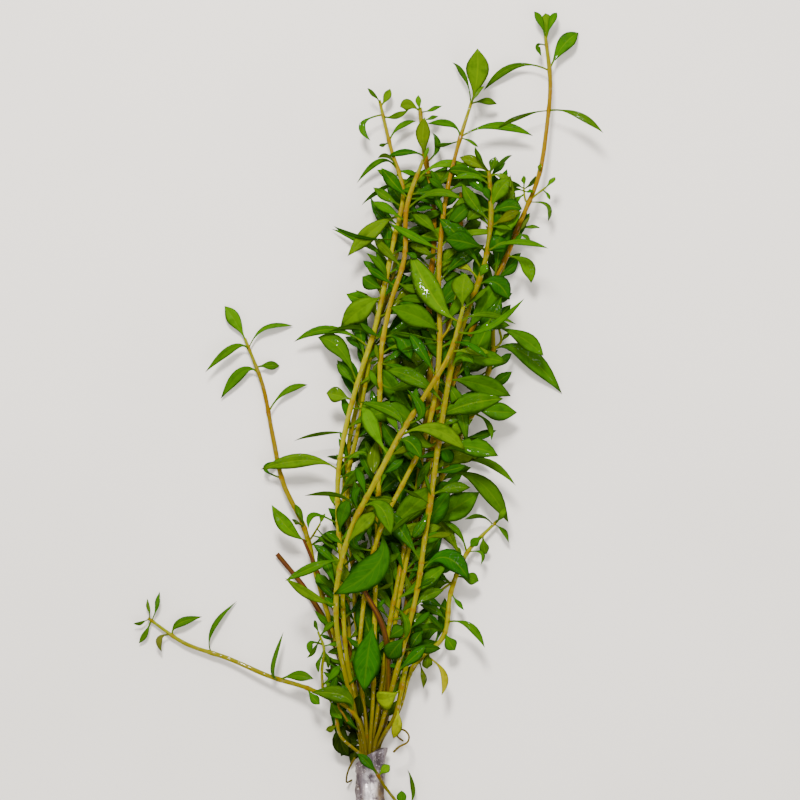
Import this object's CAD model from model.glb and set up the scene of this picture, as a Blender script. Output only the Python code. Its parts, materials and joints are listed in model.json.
import json
import math
import random

import bmesh
import bpy
import numpy as np
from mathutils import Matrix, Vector, noise
from mathutils.bvhtree import BVHTree
from mathutils.geometry import interpolate_bezier
from mathutils.kdtree import KDTree


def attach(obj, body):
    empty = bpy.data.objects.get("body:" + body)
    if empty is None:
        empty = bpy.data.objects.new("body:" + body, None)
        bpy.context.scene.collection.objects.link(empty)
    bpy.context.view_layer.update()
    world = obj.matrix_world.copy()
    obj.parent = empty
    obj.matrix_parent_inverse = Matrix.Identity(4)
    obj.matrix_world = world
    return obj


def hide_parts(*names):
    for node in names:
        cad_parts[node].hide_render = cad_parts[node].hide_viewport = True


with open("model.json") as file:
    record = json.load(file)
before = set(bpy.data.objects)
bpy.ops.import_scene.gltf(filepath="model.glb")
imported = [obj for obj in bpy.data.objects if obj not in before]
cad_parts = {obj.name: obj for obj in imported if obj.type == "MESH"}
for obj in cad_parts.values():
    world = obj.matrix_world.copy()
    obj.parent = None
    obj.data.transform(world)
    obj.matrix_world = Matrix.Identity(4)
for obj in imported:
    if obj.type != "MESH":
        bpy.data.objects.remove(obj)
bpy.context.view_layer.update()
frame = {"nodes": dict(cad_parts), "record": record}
print("frame loaded:", len(frame["nodes"]), "nodes")

mm = 0.001
chanceSource = random.Random(17)

# The bunch as the solids have it. These lengths are in mm, as in the tables of stems, leaves
# and roots.
bunch = {
    "step": 15.5,          # distance between the points of a stem
    "neckTop": 12.0,       # stems keep their places in the strip up to here
    "cutEnd": -12.0,       # mean height of the cut ends
    "cutSpread": 1.6,
    "neckRadius": 0.6,
    "neckRun": 18,         # over this length a stem widens above the strip
    "gap": 0.4,            # least air between two stems
    "pack": 1.5,           # distance between neighbouring stems in the strip
    "stripMiddle": (0.0, 4.45),
    "fold": 0.2,           # rise of a leaf's edges, as a share of its half width
    "sway": 0.05,          # bend of a leaf that has no middle point in its row
    "tipFloor": 0.7,
    "leastCosine": 0.5,
    "lifts": (0, 1.5, -1.5, 3, -3, 4.5, -4.5, 6, -6, 8, -8, 10, -10, 13, -13),
    "arches": (0.8, 2.2, -0.8, 3.6, 5.5),
    "rolls": (0.12, -0.3, 0.5),
    "twigLifts": (0.5, 1.5, -1, 2.5, -2, 4, -3.5, 6, -5, 8, 10),
    "thinLeaf": 1.8,       # a leaf thinner than this is turned on its edge
    "thinLean": 0.8,       # by this much more
}

# Places of the stems in the strip, in rows from the top one down, counted in the pack distance.
stripRows = {
    "top": (1.732, (-1, 0, 1)),
    "upper": (0.866, (-1.5, -0.5, 0.5, 1.5)),
    "middle": (0.0, (-2, -1, 0, 1, 2)),
    "lower": (-0.866, (-1.5, -0.5, 0.5, 1.5)),
    "bottom": (-1.732, (-1, 0, 1)),
}

# name: place in the strip, heights as (distance along the stem, height), radii (low, tip),
# route from the tip down, all in mm
stemRoutes = {
    "tall_right_shoot": (("middle", 2), ((36, 11), (110, 13), (190, 9), (250, 3.5)), (0.72, 0.5), [
        (56.3, 240), (57, 234), (57.8, 226), (57.2, 215), (55.5, 203), (53.8, 194), (51, 186),
        (46.5, 177), (43.6, 169), (38.5, 159.5), (34, 150), (30.3, 139.5), (26, 127), (21, 110),
        (16, 90), (11, 70), (8, 52), (5.5, 36), (3.2, 22)]),
    "low_right_shoot": (("lower", 2), ((30, 8.5), (110, 7), (190, 5)), (0.72, 0.58), [
        (45.5, 183), (44.8, 174), (41.5, 163), (39.2, 152), (39.8, 141), (37, 130), (33.5, 120),
        (28.5, 110.5), (24.3, 100), (20, 91), (16.5, 76), (13, 60), (10, 46), (6.8, 32), (4, 20)]),
    "tall_middle_shoot": (("upper", 1), ((36, 14), (90, 18.5), (170, 14), (230, 6)), (0.72, 0.47), [
        (32.6, 219), (31, 213), (27.7, 203), (25.5, 195), (24.2, 187), (22.5, 173), (21.9, 160),
        (22.3, 146), (21.8, 133), (20, 121), (16.8, 109), (11.5, 98.5), (5.8, 87), (1.5, 78),
        (-0.6, 66), (-2.7, 52), (-3.3, 38), (-1.6, 22)]),
    "crown_shoot": (("upper", 2), ((36, 11), (110, 12), (205, 6)), (0.76, 0.58), [
        (16, 217), (16.3, 209), (18.1, 199), (20.2, 188), (20.6, 176), (19.4, 163), (18.7, 151),
        (19.3, 138), (19, 126), (17.3, 113), (15.6, 98), (12.4, 83), (10, 69.5), (7.3, 57),
        (5.3, 45), (3.8, 33), (1.9, 21)]),
    "middle_shoot": (("top", 1), ((36, 15), (60, 15), (85, 13), (190, 12)), (0.72, 0.54), [
        (17, 200), (13.5, 193.5), (11.7, 184), (11.5, 173), (9.7, 162), (5.7, 151), (3.5, 138),
        (3.2, 124), (3.1, 110), (2.8, 96), (2.4, 82), (1.8, 67), (1.5, 52), (1.4, 38), (0.8, 24)]),
    "tall_left_shoot": (("middle", 1), ((30, 9.5), (90, 11), (175, 9), (225, 3.5)), (0.72, 0.43), [
        (3, 219.5), (3.7, 211), (7.2, 203), (9.9, 195), (10.5, 187), (8.3, 178), (6.2, 166),
        (3, 153), (0, 140), (-4.2, 128), (-7.8, 114), (-10, 101), (-10.5, 88), (-9.2, 75),
        (-8.8, 62), (-8.2, 49), (-6.6, 35), (-4.4, 22)]),
    "left_inner_shoot": (("lower", 0), ((36, 5), (100, 5.5), (180, 2.5)), (0.68, 0.5), [
        (10.2, 187), (9.6, 177), (7.6, 166), (5.4, 156), (1.4, 145), (-1.2, 133), (-4.6, 120),
        (-7.2, 107), (-8.3, 94), (-8.2, 80), (-7.6, 66), (-7, 52), (-5.6, 38), (-3.6, 24)]),
    "left_under_shoot": (("lower", 1), ((36, 8), (90, 9), (130, 7.3)), (0.65, 0.43), [
        (1.2, 142), (-1.2, 130), (-2.9, 118), (-5.6, 106), (-7.4, 95), (-6.6, 82), (-5.4, 68),
        (-4.6, 54), (-3.2, 40), (-1.8, 26)]),
    "slanting_shoot": (("upper", 0), ((20, 12), (45, 18), (90, 25), (160, 21)), (0.79, 0.54), [
        (29.8, 153), (27.8, 146), (24.6, 136), (19, 127), (14.5, 120), (9.6, 112), (4.8, 104),
        (0.6, 95), (-4.3, 86), (-7.9, 76), (-10.2, 66), (-11, 56), (-9.4, 44), (-7.4, 33),
        (-4.2, 21)]),
    "bright_shoot": (("top", 2), ((16, 11.5), (36, 15), (90, 19), (190, 14)), (0.79, 0.58), [
        (38, 196.5), (38.5, 186), (38.3, 174), (35, 162), (30.5, 149.5), (26.5, 136.5),
        (24, 123), (21.8, 109), (19.7, 94), (17.6, 80), (15.5, 65), (12.9, 52.5), (9.5, 41),
        (6.6, 29.5), (3.6, 19)]),
    "tan_stem": (("lower", 3), ((36, 5.5), (80, 7), (120, 5), (180, 3)), (0.72, 0.58), [
        (29.4, 190), (29.2, 178), (26.8, 167), (25.2, 154), (24.6, 140), (22.6, 126), (20.2, 111),
        (17.2, 96), (15, 81), (12.9, 66), (10.4, 50), (7.8, 35), (4.8, 21)]),
    "right_corner_shoot": (("middle", 4), ((20, 7.5), (50, 6.5), (90, 2.5)), (0.68, 0.43), [
        (41, 84.5), (36.5, 79.5), (30.9, 73.8), (26.4, 65.5), (25.4, 53), (22.3, 45.5),
        (15.4, 40.2), (12.2, 33), (9.4, 24)]),
    "right_base_shoot": (("upper", 3), ((14, 9), (36, 10)), (0.72, 0.58), [
        (14, 49), (12.3, 40), (9.6, 31), (8, 22)]),
    "left_shoot": (("middle", 0), ((36, 6.5), (80, 5), (150, 1.6)), (0.72, 0.43), [
        (-40.3, 143), (-36.2, 132.3), (-32, 120), (-31.2, 110), (-28.7, 98.5), (-22.7, 86),
        (-18.8, 75), (-16.6, 64), (-13.4, 54), (-10, 42), (-6.4, 30), (-3.4, 20)]),
    "long_left_shoot": (("top", 0), ((13, 13.5), (30, 8), (50, 3.4), (90, 1.2)), (0.68, 0.43), [
        (-71.5, 53), (-64, 47), (-52, 42), (-43, 39.2), (-31, 34), (-20.5, 31), (-11.5, 27.6),
        (-5.6, 23.6)]),
    "brown_stem": (("middle", 3), ((24, 10.5), (42, 17), (56, 19.5)), (0.81, 0.63), [
        (-2, 63), (3, 55.5), (5, 45.5), (5.9, 34), (4.6, 22)]),
    "dead_stem": (("bottom", 0), ((36, 3), (80, 1.6)), (0.81, 0.59), [
        (-30, 73.7), (-25, 66.5), (-18, 59), (-12.6, 48), (-8, 35), (-4, 22)]),
    "thin_dead_stem": (("bottom", 1), ((24, 4.5), (36, 7.2), (52, 9), (75, 10)), (0.58, 0.36), [
        (-21.3, 78.5), (-18, 69), (-12.4, 60), (-8, 46), (-4, 33), (-1.4, 21)]),
    "dark_stem": (("bottom", 2), ((36, 2.2), (75, 2.2)), (0.65, 0.5), [
        (15.8, 80), (15.4, 66), (13.6, 52), (9.8, 38), (4.8, 24)]),
}

# shoot: side twigs as (radius, points from the stem outwards)
sideTwigs = {
    "tall_right_shoot": [(0.38, [(51.3, 186.6), (52.8, 188.6), (56.2, 191.2)]),
                         (0.38, [(51, 186), (49.6, 187.6), (49.2, 191.3)])],
    "tall_middle_shoot": [(0.38, [(22.2, 142), (25.5, 147), (27.4, 156.5)])],
    "low_right_shoot": [(0.45, [(39.8, 139), (42, 142), (41.4, 146)])],
    "left_shoot": [(0.38, [(-19.8, 77.5), (-18.3, 79.8), (-16, 83.5)])],
    "right_corner_shoot": [(0.38, [(26.2, 66), (22, 61.5), (18.4, 57.8)])],
    "long_left_shoot": [(0.45, [(-14.8, 28.8), (-15.4, 36.5), (-14.7, 43.5), (-16.6, 49)])],
}

# shoot: leaves as (points from the stem to the tip, width, tint)
# tints: b bright, m middle, d dark, o olive, y yellow-green, g grey underside, k brown and decayed
leafRows = {
    "tall_right_shoot": [
        (56.3, 239, 56.3, 247.6, 4, "b"), (56, 239, 54.8, 244.5, 52.6, 248, 2.2, "m"),
        (57, 239, 58.2, 244.5, 60, 247.8, 2.2, "m"), (56.5, 237, 53.7, 237, 55, 233.4, 1.6, "m"),
        (57.8, 229, 62, 237, 67.2, 241.5, 4.7, "m"),
        (57.6, 229, 46.5, 230.5, 36.5, 222.8, 2.4, "m"),
        (57.2, 216, 66, 214.5, 74.5, 208.3, 2.2, "m"),
        (57, 216, 48.5, 214.2, 41, 210.3, 1.5, "m"), (54.2, 196, 54.6, 198.8, 1.2, "b"),
        (51.8, 186, 56.6, 185.4, 57, 180.3, 1.6, "m"), (56, 191, 59.2, 194.6, 1.6, "b"),
        (55.4, 190.4, 57.6, 187.2, 1.2, "m"), (49.2, 191, 44.8, 193.4, 1.5, "m"),
        (49.2, 191, 49, 195, 1.4, "b"), (49.4, 190.6, 53.2, 195, 1.5, "m"),
        (49, 190, 43.3, 191, 1.5, "m"), (49, 189, 45.4, 185.8, 1.8, "m"),
        (49.3, 190, 52.4, 190, 1.3, "m"), (46.8, 178.2, 54.5, 178.2, 1.2, "m"),
        (46.2, 177.2, 51.5, 174, 1.2, "m"), (46, 176.6, 51.2, 182.2, 1.4, "g"),
        (43.8, 169.2, 49.6, 167, 51.6, 160.6, 4.2, "b"), (43, 167.4, 39, 165.6, 1.2, "m"),
    ],
    "low_right_shoot": [
        (45.3, 182, 47.3, 187.5, 1.6, "m"), (39.7, 147, 48, 143.5, 55.5, 137.3, 5, "m"),
        (39.4, 139.2, 49, 138.5, 61.8, 125.3, 5.6, "m"), (38.8, 139, 36, 144.6, 1.6, "m"),
        (42, 142, 44.4, 144.8, 1.5, "b"), (37.4, 132.6, 29.4, 128.9, 1.6, "d"),
        (33.4, 120, 26, 131, 36.4, 134.8, 4.4, "m"),
        (33.8, 120.4, 39, 119.6, 47.2, 119.2, 5.6, "m"), (32.8, 119, 37.6, 116, 38.9, 110.3, 1.8, "m"),
        (25.2, 101.6, 36, 103.8, 46.6, 95.8, 2.4, "m"), (26.2, 104, 32, 106, 38.4, 102.4, 1.4, "m"),
        (24.2, 99.6, 35, 97, 44.4, 83.8, 5.4, "m"), (19, 83.6, 25.5, 87.5, 35.2, 93.6, 8, "m"),
        (20, 89, 22, 94, 27, 93.8, 5, "d"), (22, 95, 29.6, 99.4, 2, "d"),
    ],
    "tall_middle_shoot": [
        (32.4, 217.8, 34.2, 226, 34.3, 235.4, 7, "b"), (32.3, 218, 30.6, 226.6, 26.4, 231.8, 1.5, "m"),
        (32.6, 218, 36.5, 219, 40.8, 218.2, 2.2, "m"), (32.4, 218, 36.6, 223.4, 1.3, "b"),
        (29.3, 207.3, 40, 211, 52.4, 207.8, 2.7, "m"), (29, 207, 26, 211.3, 18.2, 211.5, 2.2, "m"),
        (28.8, 206.2, 20.5, 204.8, 1.2, "m"), (29.4, 207, 34.6, 204, 1.2, "m"),
        (22.3, 171, 29, 176, 45.2, 176.7, 2, "b"), (22.1, 171, 15.5, 174.5, 6, 179.7, 2.6, "m"),
        (23, 177, 31.6, 172.4, 3, "d"), (22.3, 174.5, 12.3, 175.4, 1.8, "d"),
        (22.2, 170.4, 17.6, 168, 1.2, "m"), (24.4, 189, 18.6, 194, 2.4, "d"),
        (22.2, 142, 14, 143.6, 6, 145, 1.4, "m"), (22.2, 144.5, 16.5, 149, 6.4, 152.6, 7, "m"),
        (22.1, 146.4, 12, 146, 1.5, "d"), (22, 141.4, 10, 139, 1.2, "m"),
        (21.4, 129, 27.4, 124, 31, 108.8, 4.4, "m"), (20.6, 122, 15.6, 117.8, 1.4, "m"),
        (27.4, 156, 29.6, 161.6, 1.5, "m"),
        (0.6, 75.4, -5.2, 78, 0.4, 84.6, 4.4, "d"),
        (-0.4, 71, -4.2, 74.6, 1.5, "d"),
    ],
    "crown_shoot": [
        (16.1, 215.6, 12.8, 217.8, 9.6, 217.2, 3.6, "b"), (16, 216, 15.5, 221, 1.8, "b"),
        (16.2, 215.5, 23.2, 217.6, 1.4, "m"), (16.3, 213, 22, 214.4, 1.3, "m"),
        (17.9, 200.4, 17.5, 213.6, 4.4, "b"), (18.2, 199.4, 21.6, 204, 20, 209, 2, "d"),
        (17.8, 201, 12.5, 202.7, 5.2, 201, 2.1, "d"), (20.5, 184.4, 14.8, 186, 1.6, "d"),
        (19.8, 167, 31.2, 159.8, 4.6, "m"), (20.4, 173, 12.6, 175.4, 1.5, "d"),
        (18.8, 152, 15.8, 150, 14.6, 156.4, 4.4, "d"), (18.7, 149, 24, 153.4, 20.2, 147.8, 3, "d"),
        (19.2, 129, 10.2, 127.4, 3, "d"), (18.4, 121, 11, 118.6, 1.8, "d"),
        (15.4, 97, 10.6, 94.8, 9.4, 83.8, 3.4, "d"), (14.6, 93, 19.4, 103.9, 2.8, "m"),
        (11.2, 76, 14.9, 71.3, 3.3, "d"), (10.1, 70.2, 13.2, 57.8, 2.6, "o"),
        (10, 69.6, 5, 66.4, 0, 63.4, 3.4, "m"), (7.4, 57.6, 11.6, 53, 11, 46.6, 2.2, "m"),
        (7.2, 56.8, 4, 62, -0.4, 62.6, 2, "m"), (5.6, 46.6, 11.2, 50.4, 4.2, "d"),
        (16.8, 114.6, 9, 124.5, 2, 134.2, 6.2, "m"),
    ],
    "middle_shoot": [
        (16.6, 199.4, 18.6, 204, 1.5, "b"), (13.2, 193, 23, 198.7, 33.6, 195.8, 2.7, "b"),
        (12.8, 189, 24.4, 189.6, 5.6, "d"), (11.8, 184, 20.5, 189.2, 29.4, 187, 2.6, "m"),
        (11.7, 182.8, 20.4, 184.4, 1.6, "d"), (11.1, 170.4, 15.2, 168.4, 1.8, "d"),
        (9.3, 160.6, 16.2, 158, 2.8, "m"), (3.5, 136, 0, 134.6, 1.2, "m"),
        (3.6, 137.4, 11.4, 139.6, 19.2, 128.4, 3.2, "b"), (3.4, 134.8, 12.4, 132, 2, "d"),
        (3.4, 128.6, 11.2, 128, 20.6, 138.9, 4, "m"),
        (4.6, 143.2, 10, 142.6, 13, 136, 5.5, "d"), (3.1, 113, 1.2, 99.6, 4.4, "o"),
        (2.7, 92, -1, 95.8, -9.2, 95.6, 1.6, "g"), (2.5, 87.6, 6.4, 80, 4.6, "m"),
        (2.2, 76.6, 5.9, 67.4, 1.6, "d"), (2.5, 83, 2.8, 71.5, -11.6, 61.4, 8.6, "d"),
        (1.5, 53, -0.4, 44, -1.9, 30.2, 8.4, "d"), (2.7, 92.5, 8, 97.5, 19.2, 103.2, 8.5, "d"),
    ],
    "tall_left_shoot": [
        (3, 218.4, -0.9, 223.2, 1.3, "m"), (3, 217.4, 6.4, 223.3, 2.4, "b"),
        (3.2, 214.6, -2.4, 211.6, 0.2, 206.2, 2.1, "m"), (3.3, 214, 7.6, 214, 12.3, 216, 2, "m"),
        (6, 206.2, 9.4, 210.8, 14.9, 212.8, 1.8, "m"), (5.8, 205.8, 2.8, 204.8, 1.1, "m"),
        (9.4, 197.6, 3.2, 199.9, -4.4, 192.8, 1.8, "m"), (9.6, 197, 6, 201.3, 2.4, 200.6, 1.4, "g"),
        (9.8, 196, 5.6, 191.8, 1.5, "m"), (9.6, 196.8, 15.2, 195.2, 1.8, "m"),
        (10.3, 191.3, 4.4, 191.3, -2.8, 185.6, 1.4, "m"), (9.6, 183, 4.2, 181.6, 0.1, 188.5, 2.5, "d"),
        (9.3, 181.8, 1.8, 178.2, -7.2, 169.1, 5, "b"), (6.4, 166.6, 0, 172.6, -12.5, 178.3, 2.1, "m"),
        (7.6, 174.6, -3, 175.4, -11.6, 178.7, 1.3, "d"), (5.2, 160.6, 4, 165.4, -1.2, 170.2, 2.5, "m"),
        (4.6, 158.6, -2.5, 162.8, 4.8, "d"), (3.4, 154.6, -7.6, 157.1, 4, "m"),
        (4.2, 156, -1.6, 153.2, -9.5, 146.6, 6.6, "b"), (0.6, 142, -4.2, 146.6, -13.5, 144.8, 1.7, "m"),
        (0, 139.8, -12, 145.8, -24.5, 141.8, 2.7, "m"),
        (-4.2, 128.4, -9.6, 139.4, -16.8, 143.3, 5.4, "m"),
        (-5.4, 123, -14, 125.4, 4.8, "b"), (-10, 100.6, -20, 104, -35.2, 100.9, 4.4, "b"),
        (-10.1, 100, -5, 105.7, -0.8, 106, 1.1, "m"), (-10.2, 83.4, -17.8, 86.6, -19.6, 82, 1.9, "m"),
        (-9.8, 80, -6.6, 91.6, 4.4, "d"), (-8.8, 63, -14.4, 64.6, -16.8, 67.9, 3.8, "m"),
        (-8.6, 56, -17.2, 65.2, 2, "d"), (-8, 48, -2, 43.8, 2, "d"),
        (-6.2, 32, -9.6, 27, -10.2, 14, 4.6, "d"),
    ],
    "left_inner_shoot": [
        (10, 184, 14.8, 180.4, 1.5, "d"), (7.2, 164.6, 11.2, 168.6, 1.5, "d"),
        (-7.4, 104.4, -14, 104.8, 1.4, "d"), (-8, 76, -13.6, 79.8, 1.6, "d"),
        (-7.2, 55.6, -12.2, 51.6, -18, 56, 2.3, "m"),
    ],
    "left_under_shoot": [
        (0.8, 140.6, 4.4, 147.4, 1.5, "d"), (-4.3, 111.4, -14, 112.8, -24.4, 110, 1.2, "m"),
        (-4.4, 111, 0.6, 115.6, 1.5, "d"), (-6.6, 82, -1.4, 78, 1.6, "d"),
    ],
    "slanting_shoot": [
        (29.6, 152.2, 30.4, 163.4, 7, "b"), (29.6, 152.4, 37.3, 159.3, 1.7, "m"),
        (27.6, 145, 37, 145.8, 49, 155.4, 2.1, "m"), (28, 147.4, 36, 150.4, 46.6, 147.2, 2, "m"),
        (27.6, 148.4, 21.2, 154.6, 12.8, 170.4, 7.4, "b"),
        (26.2, 141.4, 31.6, 140.6, 37.5, 136.4, 1.8, "d"),
        (9.4, 112, 8.4, 118.6, -3.3, 122.6, 3.2, "m"), (9.8, 111.6, 20, 114, 30.4, 107.2, 5, "b"),
        (8.2, 110, 12.5, 110, 16.4, 104.6, 5, "d"), (12, 115.6, 16.4, 119.4, 11.8, 126.6, 3, "d"),
        (-4, 87, -9.4, 92.9, -21, 92.7, 1.5, "m"),
        (-3.8, 88, -4.8, 92.6, -2.7, 95.6, 2.3, "d"), (-2.6, 89.4, 3.4, 89.4, 6.8, 80.4, 5.4, "m"),
        (-9, 72.4, -16, 71, -26.9, 65.8, 3, "m"), (-10.8, 58, -18, 60.8, -26.8, 66.8, 3, "b"),
        (-11.1, 55.6, -14.6, 60.4, 2.4, "d"),
    ],
    "bright_shoot": [
        (38, 195.4, 34.2, 198.6, 28.6, 200.7, 3.6, "b"), (38, 196, 33.5, 203.8, 1.4, "m"),
        (38, 195.6, 40, 200.8, 3, "m"), (38.1, 195.4, 45.5, 201.4, 1.5, "m"),
        (38.2, 194.6, 42, 194.6, 45.2, 190.8, 2.5, "b"), (38.1, 191.5, 33, 194.6, 26.1, 193.5, 2.1, "m"),
        (38.6, 183.5, 40.6, 189, 44.6, 193.9, 5, "b"), (38.6, 182.6, 43.6, 184.8, 48.6, 184.1, 4.6, "d"),
        (38.5, 183.6, 34.8, 183.4, 30.8, 180.3, 4, "m"), (38.5, 186, 36.2, 190.9, 2.5, "d"),
        (38.5, 180, 29.4, 192, 4, "m"), (38.4, 178.4, 45.5, 177.4, 1.5, "m"),
        (37.6, 170.2, 46, 173.4, 56.7, 171.2, 2, "m"), (37.2, 169.8, 34.5, 172.4, 30.8, 171.8, 1.6, "m"),
        (37.4, 171, 24, 174.2, 6.2, "d"), (37.4, 170, 43.7, 174, 6, "d"),
        (34.6, 161.4, 30.4, 165.8, 26.2, 165.7, 2.5, "y"), (34, 159.6, 40, 160.6, 44.5, 155, 5.6, "d"),
        (35, 162, 37.6, 166.4, 2.8, "m"), (27.4, 140, 31.8, 128.4, 1.6, "d"),
        (25, 129.6, 34, 128.6, 45.2, 124.4, 6.4, "m"), (25.8, 132.4, 29, 137.4, 33.2, 134.6, 4, "m"),
        (22, 111, 17, 109.4, 11, 119, 3.4, "m"), (21.9, 109.4, 25.8, 103, 4, "d"),
        (18.9, 89.4, 12, 86, 6.2, 80.8, 1.7, "m"), (18.7, 88, 13.3, 79.3, 3, "d"),
        (19.3, 92, 17.2, 99.8, 1.3, "m"), (19, 90, 10.8, 94.8, 1.3, "m"),
        (15.8, 68, 24, 73, 31.9, 65.4, 6.2, "d"), (11.6, 48, 5.8, 40.6, 6, "d"),
    ],
    "tan_stem": [
        (29.4, 186, 33.2, 190.6, 1.8, "d"), (29.2, 179.6, 24.6, 181.6, 2, "d"),
        (29.1, 176.4, 35.8, 180.6, 3.6, "m"), (25, 150, 31.4, 152.6, 2, "d"),
        (21, 116, 26, 118.6, 2, "d"), (14.6, 79, 20.6, 82.4, 2.2, "d"),
    ],
    "right_corner_shoot": [
        (40.2, 83.8, 43.2, 88.8, 2, "b"), (39.4, 83, 35.6, 86, 30.3, 84.9, 1.5, "m"),
        (39.8, 83.2, 42.4, 81.4, 44.7, 77.2, 1.5, "m"), (36.3, 79.2, 32.2, 76.2, 2.8, "m"),
        (36.4, 79.4, 37.3, 73.6, 3, "m"), (31.4, 74.2, 35.6, 74.2, 35.5, 70.2, 1.3, "m"),
        (31, 73.8, 28.4, 80.6, 22.8, 84.4, 2, "m"), (28.6, 70.4, 28.2, 76, 1.3, "b"),
        (27, 67, 34.9, 65.1, 3.8, "m"), (26.2, 65, 18.3, 63.2, 3.6, "m"),
        (26, 61.6, 30.2, 55.8, 1.4, "m"), (25.3, 51.7, 31.4, 51.2, 36.7, 44, 2.4, "m"),
        (25.2, 52, 21.4, 55.4, 15.8, 57.7, 2.8, "m"), (24.2, 48.6, 19, 49.8, 12.8, 47.6, 7.4, "m"),
        (24.2, 49, 27.3, 43, 4, "m"), (19, 43, 18.3, 36.9, 3.2, "o"),
        (17.4, 41.6, 23.4, 36, 22.9, 28.8, 2.2, "y"), (15.2, 40, 17.1, 30.5, 1.7, "o"),
    ],
    "right_base_shoot": [
        (13.9, 48, 16.6, 50.4, 3, "d"), (12.6, 42, 16.4, 49.2, 4, "d"),
        (12, 39.6, 6.2, 38.2, 2, "d"), (9.6, 31, 6, 28, 1.8, 27.8, 6, "y"),
        (8.4, 25, 8.8, 20, 7.4, 14.6, 3.2, "y"),
    ],
    "left_shoot": [
        (-40, 142, -43, 148, -46.9, 153.5, 4.2, "b"), (-38.9, 139.3, -44, 140, -53, 132, 2.5, "m"),
        (-39, 139.8, -34, 146, -24.8, 147.1, 1.7, "m"), (-36, 131.8, -41, 132.4, -48.2, 123.5, 3.4, "m"),
        (-36.6, 133.8, -29.1, 134.1, 2.7, "m"), (-31.8, 119.2, -27.6, 125.6, -20, 128.1, 2.1, "m"),
        (-28.6, 98, -33.6, 101, -28.2, 103.4, 2, "d"), (-19.8, 77.6, -26, 82, -31.4, 89.8, 4.4, "b"),
        (-21.2, 82, -24.2, 90, 2, "m"), (-21, 82.4, -25.2, 84.8, 1.3, "m"),
        (-18.6, 79.6, -14.6, 78.2, -9.8, 73.8, 1.6, "m"), (-17, 82, -11.8, 77.2, 1.6, "m"),
        (-16, 83, -14.4, 86.8, 1.5, "b"), (-4.6, 21, -9.4, 15.5, -6.6, 8.6, 5.6, "k"),
    ],
    "long_left_shoot": [
        (-70.6, 52.2, -74.5, 44.8, 1.8, "m"), (-70.4, 52, -67.8, 61.6, 1.5, "m"),
        (-71, 52.8, -71.8, 59.4, 1.3, "b"), (-71, 52.8, -76.2, 51.2, 1.3, "m"),
        (-64, 47, -61.6, 51.2, -54, 53.5, 2.6, "m"), (-64.2, 47, -67.6, 46.6, -67, 42.2, 2, "g"),
        (-51, 41.8, -50.8, 49, -42.8, 58.6, 1.5, "m"), (-29, 33.4, -31, 37, -27.8, 48.8, 1.6, "m"),
        (-29, 33.2, -24, 34.9, -18, 33.9, 3.2, "m"), (-20, 31, -16, 25.8, 2.8, "m"),
        (-12.6, 28, -9, 21.4, 4.2, "m"), (-5.6, 23.6, -8, 28.8, -18.6, 30.2, 5.2, "m"),
        (-16.5, 48.6, -18, 52.6, 1.5, "m"), (-16, 47.4, -11.3, 52.5, 2, "m"),
        (-15.2, 45, -19, 45.4, -18.5, 41.2, 2, "m"),
        (-16, 47, -20.1, 40.8, 1.3, "m"), (-14.8, 44.4, -9.3, 45.1, 1.3, "m"),
        (-15, 43.4, -16.6, 36, 1.6, "m"), (-14.9, 43.8, -13.2, 37.3, 1.6, "m"),
        (-15.3, 40, -9.6, 36, -5.8, 28.5, 1.8, "d"), (-15.3, 32, -9.6, 38.7, 2.5, "m"),
    ],
}

# The shoot that lies over the strip, from its foot beside the neck to its tip.
overStrip = [(-10.6, 24, 8), (-10.4, 19, 12), (-8.4, 14.6, 14.2), (-3.4, 10.8, 15.2), (0.6, 6.8, 15),
              (2.6, 3, 14), (5, -0.6, 12), (8.2, -5.2, 8), (11.4, -8.8, 3)]
overStripForm = {"step": 5.5, "radii": (0.6, 0.4), "greenFrom": -10, "greenTo": 0}
overStripLeaves = [
    (2.3, 3.3, -4, 10.7, 3, "d"), (2.5, 3.1, 6.5, 6.6, 2.8, "b"), (11, -8.4, 10.1, -2.4, 3, "m"),
    (11.2, -8.6, 14, -3, 12, 4.2, 1.4, "m"), (11.2, -8.8, 15.6, -12.6, 2, "b"),
    (-10.4, 19.4, -14.2, 17.6, 2, "o"),
]

rootForm = {"step": 3.2, "tip": 0.6, "sides": 8, "low": 8, "high": 20}

# root: radius and points from its foot to its tip
rootRoutes = {
    "right_roots": (0.38, [(7.6, 10.6, 10), (9.6, 12.6, 12), (12, 13.8, 11), (12.5, 15.4, 9),
                           (11.5, 16.9, 7), (9.4, 17.8, 5.6), (8.4, 15.6, 3.4), (10.6, 13.4, 0.7)]),
    "left_root": (0.38, [(-4.9, 8.8, 12.8), (-6.8, 5, 9), (-7.6, 1.6, 5), (-7.2, -0.2, 1.6),
                         (-5.9, 0.8, 0.45)]),
    "neck_roots": (0.4, [(-7.2, 20.6, 12.6), (-8.4, 22.8, 13.6), (-10.4, 26.2, 13), (-9.4, 27.9, 12.4),
                         (-7, 28.3, 13.4)]),
    "low_root": (0.36, [(-6.4, 17.6, 3), (-9.5, 21.2, 2), (-11.6, 19.2, 1), (-13.2, 16.4, 0.5)]),
}


# The stems' places are found the same way as for the solids.
def resample(points, step):
    points = np.array(points, dtype=float)
    lengths = np.concatenate([[0], np.cumsum(np.linalg.norm(np.diff(points, axis=0), axis=1))])
    count = max(2, int(round(lengths[-1] / step)) + 1)
    places = np.linspace(0, lengths[-1], count)
    return np.stack([np.interp(places, lengths, points[:, k]) for k in range(points.shape[1])], axis=1)


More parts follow.
